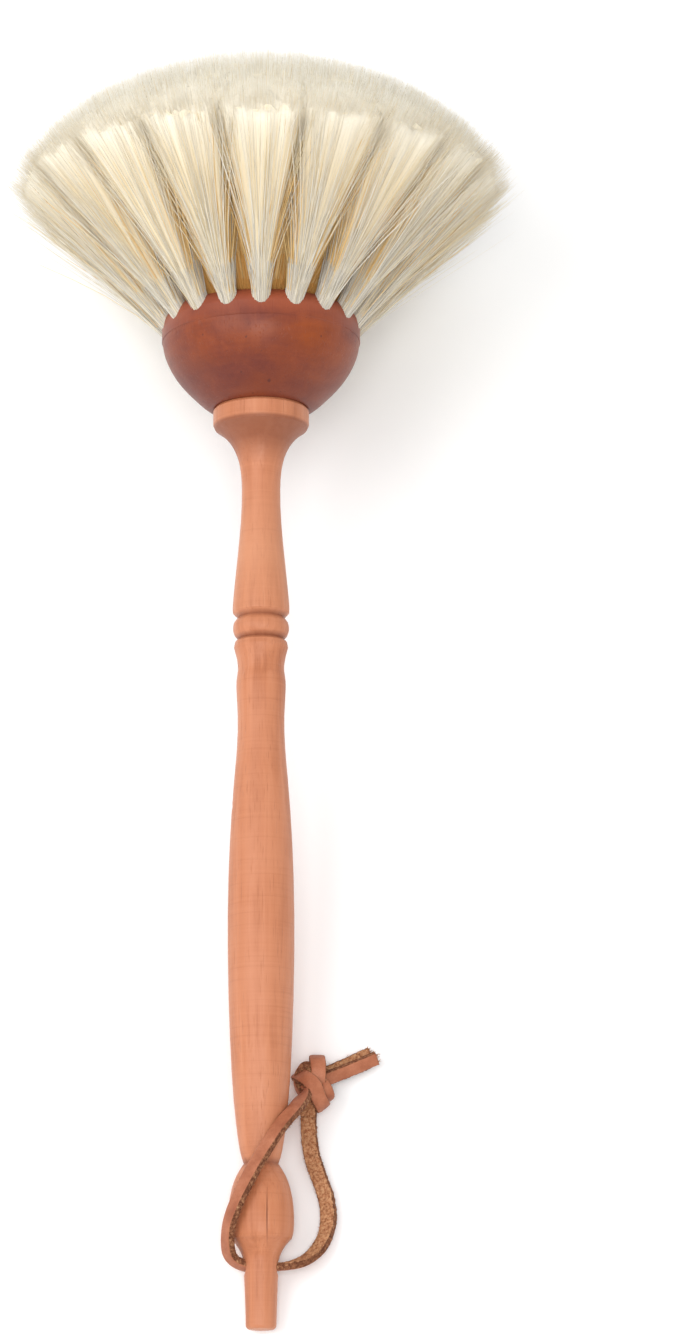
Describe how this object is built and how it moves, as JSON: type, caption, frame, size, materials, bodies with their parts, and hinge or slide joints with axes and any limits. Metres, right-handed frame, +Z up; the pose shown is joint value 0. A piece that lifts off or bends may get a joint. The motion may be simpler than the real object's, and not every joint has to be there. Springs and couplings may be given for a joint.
{
  "type": "round bee brush",
  "caption": "Round hand brush for clearing bees: turned wooden handle, domed fan of soft hair tufts and a knotted leather hanging thong.",
  "frame": {"origin": "on the table, under the middle of the lying brush: the brush lies on its tail bulb and on its lowest hair", "axes": "+Y along the brush towards the hair, with the handle rising 10 degrees that way; +Z up from the table; +X to the right seen from above"},
  "size_m": [0.1338, 0.3397, 0.1247],
  "materials": {
    "handle_wood": "satin",
    "head_wood": "satin",
    "goat_hair": "matte",
    "thong_leather": "satin",
    "anchor_steel": "satin"
  },
  "bodies": {
    "root": {"handle": "handle_wood", "head": "head_wood", "thong": "thong_leather", "thong_end_lower": "thong_leather", "thong_end_upper": "thong_leather", "thong_knot": "thong_leather", "tuft_anchors": "anchor_steel", "tuft_centre": "goat_hair", "tuft_inner_01": "goat_hair", "tuft_inner_02": "goat_hair", "tuft_inner_03": "goat_hair", "tuft_inner_04": "goat_hair", "tuft_inner_05": "goat_hair", "tuft_inner_06": "goat_hair", "tuft_middle_01": "goat_hair", "tuft_middle_02": "goat_hair", "tuft_middle_03": "goat_hair", "tuft_middle_04": "goat_hair", "tuft_middle_05": "goat_hair", "tuft_middle_06": "goat_hair", "tuft_middle_07": "goat_hair", "tuft_middle_08": "goat_hair", "tuft_middle_09": "goat_hair", "tuft_middle_10": "goat_hair", "tuft_middle_11": "goat_hair", "tuft_middle_12": "goat_hair", "tuft_outer_01": "goat_hair", "tuft_outer_02": "goat_hair", "tuft_outer_03": "goat_hair", "tuft_outer_04": "goat_hair", "tuft_outer_05": "goat_hair", "tuft_outer_06": "goat_hair", "tuft_outer_07": "goat_hair", "tuft_outer_08": "goat_hair", "tuft_outer_09": "goat_hair", "tuft_outer_10": "goat_hair", "tuft_outer_11": "goat_hair", "tuft_outer_12": "goat_hair", "tuft_outer_13": "goat_hair", "tuft_outer_14": "goat_hair", "tuft_outer_15": "goat_hair", "tuft_outer_16": "goat_hair", "tuft_outer_17": "goat_hair", "tuft_outer_18": "goat_hair"}
  },
  "joints": []
}
